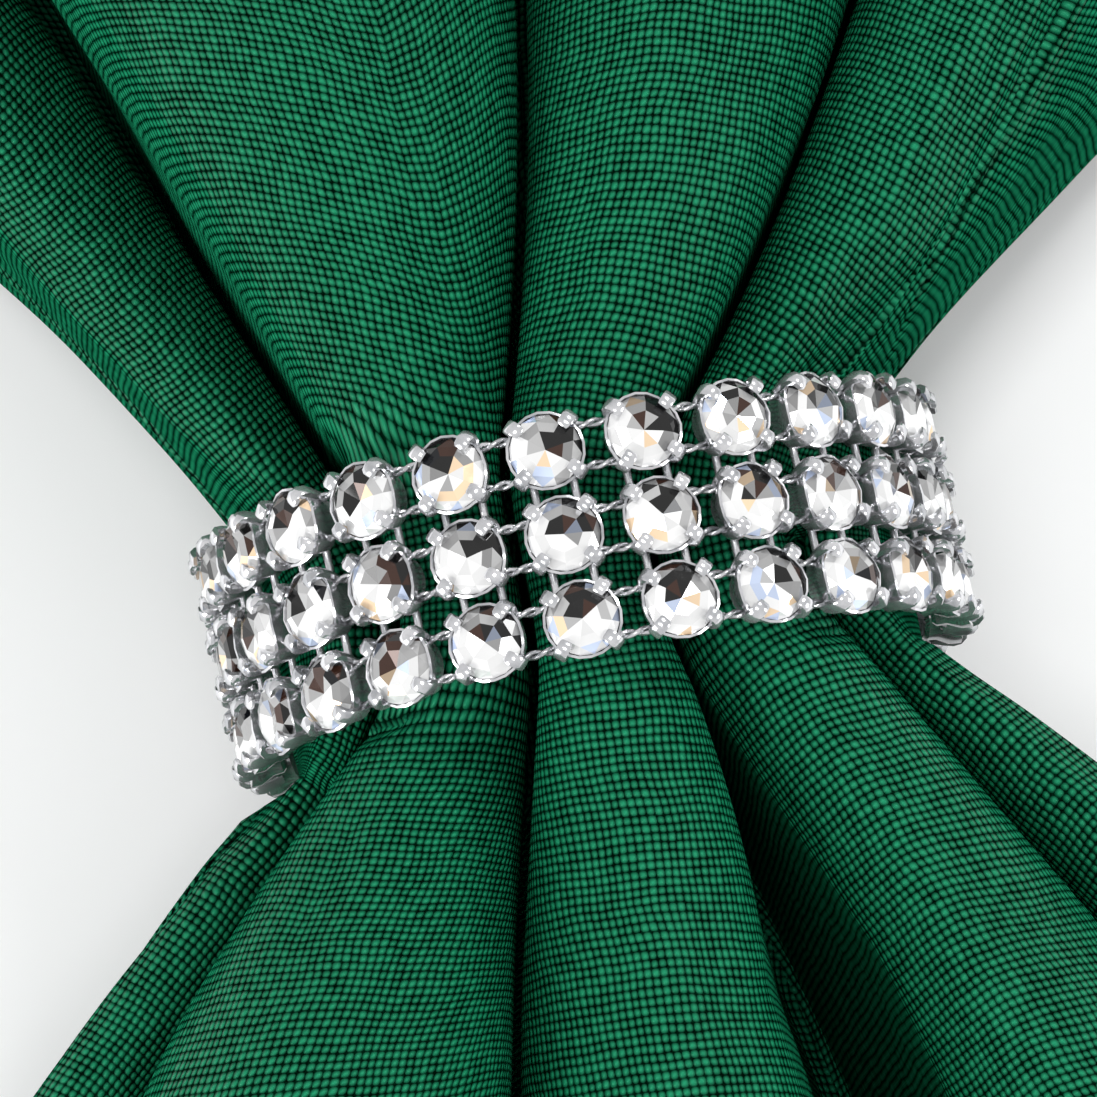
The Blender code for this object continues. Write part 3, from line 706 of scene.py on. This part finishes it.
def silver_material():
    """Bright plated metal, with the fine scratches and dull spots of something handled."""
    n = Nodes("plated_silver")
    spot = n.add("ShaderNodeTexCoord").outputs["Object"]
    cloud = n.noise(spot, 700.0, 3.0).outputs["Fac"]
    fine = n.noise(spot, 4200.0, 2.0).outputs["Fac"]
    n.put(n.ramp(cloud, (0.3, (0.40, 0.41, 0.43)), (0.65, (0.74, 0.74, 0.76))), n.shader.inputs["Base Color"])
    n.put(n.span(cloud, 0.3, 0.7, 0.22, 0.11), n.shader.inputs["Roughness"])
    n.shader.inputs["Metallic"].default_value = 0.80
    n.put(n.bump(fine, 0.00001, 0.5), n.shader.inputs["Normal"])
    return n.material


def stone_material():
    """Foiled clear glass drawn with painted reflections: each facet's colour is its own painted piece of
    light or dark.
    """
    n = Nodes("cut_glass")
    facet = n.add("ShaderNodeAttribute", attribute_name="facet")
    n.put(facet.outputs["Color"], n.shader.inputs["Base Color"])
    spot = n.add("ShaderNodeTexCoord").outputs["Object"]
    n.put(n.span(n.noise(spot, 900.0).outputs["Fac"], 0.3, 0.7, 0.02, 0.07), n.shader.inputs["Roughness"])
    n.shader.inputs["Metallic"].default_value = 0.40
    n.shader.inputs["Specular IOR Level"].default_value = 0.30
    n.shader.inputs["Coat Weight"].default_value = 0.40
    n.shader.inputs["Coat Roughness"].default_value = 0.02
    n.shader.inputs["Coat IOR"].default_value = 1.6
    return n.material


# ---------------------------------------------------------------- ring

def place_on_ring(cup, y):
    """Stands a piece made along Z, with its height measured from the ring's axis, at one cup's place."""
    angle = math.radians(RING_TURN + 360 * cup / CUPS)
    place = Matrix.Translation((RING_PLACE[0], RING_PLACE[1] + y, RING_HEIGHT))
    return place @ Matrix.Rotation(angle, 4, "Y")


def joined(name, bm, material, smooth_angle=None):
    bmesh.ops.recalc_face_normals(bm, faces=bm.faces)
    mesh = bpy.data.meshes.new(name)
    bm.to_mesh(mesh)
    bm.free()
    mesh.materials.append(material)
    if smooth_angle:
        mesh.shade_smooth()
        mesh.set_sharp_from_angle(angle=math.radians(smooth_angle))
    piece = bpy.data.objects.new(name, mesh)
    bpy.context.scene.collection.objects.link(piece)
    return piece


def loop(bm, matrix, radius, height, count, wave=0.0):
    """A ring of points round Z; wave lets its height rise and fall four times."""
    ring = []
    for i in range(count):
        angle = 2 * math.pi * i / count
        z = height + wave * math.cos(4 * angle)
        ring.append(bm.verts.new(matrix @ Vector((radius * math.cos(angle), radius * math.sin(angle), z))))
    return ring


def band(bm, low, high):
    """Quads between two rings of the same count."""
    return [bm.faces.new((low[i - 1], low[i], high[i], high[i - 1])) for i in range(len(low))]


def painted_facet_reflection(rng, angle, tier, tone):
    """A facet's painted reflection: white, grey or black by its angle from the stone's dark side, now and
    then with painted fire.

    tier is 0 for the inner wedges, and tone from -1 to 1 is the facet's own share.
    """
    light = (0.48 if tier == 0 else 0.64) - 0.46 * math.cos(angle)
    light += 0.16 * tone + rng.normal(0, 0.10)
    if light > WHITE_FROM:
        light = rng.uniform(*WHITES)
    elif light > GREY_FROM:
        light = rng.uniform(*GREYS)
    else:
        light = DARKEST
    colour = np.array([light, light, light])
    fire = rng.random()
    if light == DARKEST and fire < 0.3:
        colour = colour + DEEP_BROWN
    elif fire < 0.07:
        colour = colour * AMBER
    elif fire > 0.94:
        colour = colour * ICE_BLUE
    return colour


# A stone's cut: radius as a share of the girdle's, height over the girdle, corners.
STAR, CROWN, UNDER = (0.52, 0.00056, 8), (0.80, 0.00040, 8), (0.97, -0.00035, 16)
CENTRE_HEIGHT = 0.00030


def make_stones(material):
    rng = np.random.default_rng(41)
    bm = bmesh.new()
    reflection_layer = bm.loops.layers.float_color.new("facet")
    radius, seat = GIRDLE
    for row in ROWS:
        for cup in range(CUPS):
            spin = Matrix.Rotation(rng.uniform(0, 2 * math.pi), 4, "Z")
            m = place_on_ring(cup, row * ROW_PITCH) @ spin
            centre = bm.verts.new(m @ Vector((0, 0, seat + CENTRE_HEIGHT)))
            star, crown, girdle, below = (loop(bm, m, radius * share, seat + height, corners)
                                          for share, height, corners in (STAR, CROWN, (1, 0, 16), UNDER))
            facets = []
            for i in range(8):
                after = (i + 1) % 8
                facets.append((bm.faces.new((centre, star[i], star[after])), i, 0))
                facets.append((bm.faces.new((star[i], crown[i], crown[after], star[after])), i, 1))
                facets.append((bm.faces.new((crown[i], girdle[2 * i], girdle[2 * i + 1])), i, 2))
                facets.append((bm.faces.new((crown[i], girdle[2 * i + 1], crown[after])), i, 3))
                facets.append((bm.faces.new((crown[after], girdle[2 * i + 1], girdle[2 * after])), i, 4))
            facets += [(face, i, 3) for i, face in enumerate(band(bm, girdle, below))]
            facets.append((bm.faces.new(below), 0, 3))
            # Painted reflections by sector: most of the stone is painted flashing white, one side looking
            # into the dark.
            dark = rng.uniform(0.3, 1.9)
            level = m.inverted()
            tone = rng.permutation(8)
            for facet, sector, tier in facets:
                at = spin @ (level @ facet.calc_center_median())
                angle = math.atan2(at.y, at.x) - dark - (0.5 if tier == 0 else 0)
                colour = painted_facet_reflection(rng, angle, tier, (tone[(sector + tier) % 8] - 3.5) / 3.5)
                for corner in facet.loops:
                    corner[reflection_layer] = (*colour, 1)
    return joined("ring_stones", bm, material)


# A cup's wall from its foot to the inside of its waved rim: radius, height over the girdle, wave of height.
CUP_SIDES = 20
CUP_WALL = ((0.00150, -0.00205, 0), (0.00172, -0.00185, 0), (0.00176, -0.00125, 0), (0.00200, -0.00078, 0),
            (0.00216, -0.00045, 0), (0.00222, 0.00002, 0.00013), (0.00208, 0.00008, 0.00013),
            (0.00200, -0.00030, 0))


def make_cups(material):
    """Cups with a waved wall, a flared foot and four prongs that turn over the stone's edge."""
    rng = np.random.default_rng(7)
    bm = bmesh.new()
    radius, seat = GIRDLE
    for row in ROWS:
        for cup in range(CUPS):
            m = place_on_ring(cup, row * ROW_PITCH)
            rings = [loop(bm, m, r, seat + h, CUP_SIDES, wave) for r, h, wave in CUP_WALL]
            for low, high in zip(rings, rings[1:]):
                band(bm, low, high)
            bm.faces.new(rings[0])
            for corner in range(4):
                angle = math.radians(45 + 90 * corner + rng.uniform(-4, 4))
                arm(bm, m @ Matrix.Rotation(angle, 4, "Z"), radius, seat)
    return joined("ring_cups", bm, material, 40)


# A prong from the cup's wall to its tip over the stone. out: in stone radii. up: over the girdle. wide, deep:
# halves of its section.
Prong = namedtuple("Prong", "out up wide deep")
PRONG = (Prong(1.02, -0.00120, 0.00030, 0.00015), Prong(1.12, -0.00050, 0.00036, 0.00020),
         Prong(1.18, 0.00010, 0.00039, 0.00024), Prong(1.15, 0.00050, 0.00040, 0.00025),
         Prong(1.03, 0.00074, 0.00040, 0.00024), Prong(0.86, 0.00076, 0.00037, 0.00021),
         Prong(0.80, 0.00071, 0.00031, 0.00016))


def arm(bm, matrix, radius, seat):
    rings = []
    for i, p in enumerate(PRONG):
        before, after = PRONG[max(i - 1, 0)], PRONG[min(i + 1, len(PRONG) - 1)]
        way = Vector(((after.out - before.out) * radius, 0, after.up - before.up)).normalized()
        side = Vector((-way.z, 0, way.x))
        ring = []
        for k in range(8):
            angle = 2 * math.pi * (k + 0.5) / 8
            spot = Vector((p.out * radius, 0, seat + p.up))
            spot += Vector((0, 1, 0)) * p.wide * math.copysign(abs(math.cos(angle)) ** 0.4, math.cos(angle))
            spot += side * p.deep * math.copysign(abs(math.sin(angle)) ** 0.4, math.sin(angle))
            ring.append(bm.verts.new(matrix @ spot))
        rings.append(ring)
    for low, high in zip(rings, rings[1:]):
        band(bm, low, high)
    bm.faces.new(rings[0])
    bm.faces.new(rings[-1])


def tube(bm, points, radius, sides, closed):
    """A round bar along points; each point has a direction outwards to start its ring from."""
    rings = []
    count = len(points)
    for i, (spot, out) in enumerate(points):
        ahead = points[(i + 1) % count][0] if closed or i < count - 1 else spot
        behind = points[i - 1][0] if closed or i else spot
        way = (ahead - behind).normalized()
        side = way.cross(out).normalized()
        up = side.cross(way)
        rings.append([bm.verts.new(spot + (side * math.cos(a) + up * math.sin(a)) * radius)
                      for a in (2 * math.pi * k / sides for k in range(sides))])
    pairs = list(zip(rings, rings[1:])) + ([(rings[-1], rings[0])] if closed else [])
    for low, high in pairs:
        band(bm, low, high)
    if not closed:
        bm.faces.new(rings[0])
        bm.faces.new(rings[-1])


def make_wires(material):
    """Two twisted pairs of fine wire along each row of cups."""
    bm = bmesh.new()
    steps = CUPS * 28
    for row in ROWS:
        for side in (-1, 1):
            for strand in (0, math.pi):
                points = []
                for i in range(steps):
                    round_ring = math.radians(RING_TURN) + 2 * math.pi * i / steps
                    out = Vector((math.sin(round_ring), 0, math.cos(round_ring)))
                    twist = strand + 2 * math.pi * i * TWIST_TURNS * CUPS / steps + row + side
                    y = RING_PLACE[1] + row * ROW_PITCH + side * WIRE_OFFSET
                    spot = Vector((RING_PLACE[0], y, RING_HEIGHT))
                    spot += out * (WIRE_RADIUS + STRAND * math.cos(twist))
                    spot += Vector((0, STRAND * math.sin(twist), 0))
                    points.append((spot, out))
                tube(bm, points, STRAND * 0.95, 6, True)
    return joined("ring_wires", bm, material, 60)


def make_posts(material):
    """Two posts between neighbouring rows at each cup."""
    bm = bmesh.new()
    for row in (-0.5, 0.5):
        for cup in range(CUPS):
            m = place_on_ring(cup, row * ROW_PITCH)
            for side in (-1, 1):
                out = (m.to_3x3() @ Vector((0, 0, 1))).normalized()
                points = [(m @ Vector((side * POST_OFFSET, y, GIRDLE[1] - POST_DEPTH + rise)), out)
                          for y, rise in POST_SAG]
                tube(bm, points, POST_RADIUS, 8, False)
    return joined("ring_posts", bm, material, 60)


# ---------------------------------------------------------------- stage

def area_light(name, place, target, size, power):
    data = bpy.data.lights.new(name, "AREA")
    data.shape = "RECTANGLE"
    data.size, data.size_y = size
    data.energy = power
    light = bpy.data.objects.new(name, data)
    light.location = place
    light.rotation_euler = (Vector(target) - Vector(place)).to_track_quat("-Z", "Y").to_euler()
    bpy.context.scene.collection.objects.link(light)


def set_stage():
    floor = Nodes("pale_floor")
    floor.put((*FLOOR_COLOUR, 1), floor.shader.inputs["Base Color"])
    floor.shader.inputs["Roughness"].default_value = 0.9
    floor.shader.inputs["Specular IOR Level"].default_value = 0.1
    bm = bmesh.new()
    bmesh.ops.create_grid(bm, x_segments=1, y_segments=1, size=4.0)
    stage = joined("floor", bm, floor.material)
    world = bpy.data.worlds.new("studio")
    bpy.context.scene.world = world
    world.use_nodes = True
    world.node_tree.nodes["Background"].inputs["Color"].default_value = (1, 1, 1, 1)
    world.node_tree.nodes["Background"].inputs["Strength"].default_value = WORLD
    for name, place, size, power in LIGHTS:
        area_light(name, place, (0, 0, 0.02), size, power)
    azimuth, elevation = (math.radians(v) for v in CAMERA_ANGLES)
    back = Vector((math.sin(azimuth) * math.cos(elevation), -math.cos(azimuth) * math.cos(elevation),
                   math.sin(elevation)))
    camera = bpy.data.objects.new("camera", bpy.data.cameras.new("camera"))
    camera.data.lens = CAMERA_LENS
    camera.data.sensor_width = 36
    camera.data.clip_start = 0.01
    camera.location = Vector(CAMERA_TARGET) + back * CAMERA_DISTANCE
    camera.rotation_euler = back.to_track_quat("Z", "Y").to_euler()
    bpy.context.scene.collection.objects.link(camera)
    bpy.context.scene.camera = camera
    bpy.context.scene.view_settings.view_transform = "Standard"


sheet = make_sheet()
sheet.data.materials.append(cloth_material())
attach(sheet, "root")
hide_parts("napkin")
silver = silver_material()
stones = make_stones(stone_material())
cups = make_cups(silver)
wires = make_wires(silver)
posts = make_posts(silver)
nodes = list(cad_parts)
for piece in (stones, cups, wires, posts):
    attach(piece, "root")
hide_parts(*[name for name in nodes if name.startswith("chain")])
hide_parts(*[name for name in nodes if name.startswith("link")])
set_stage()
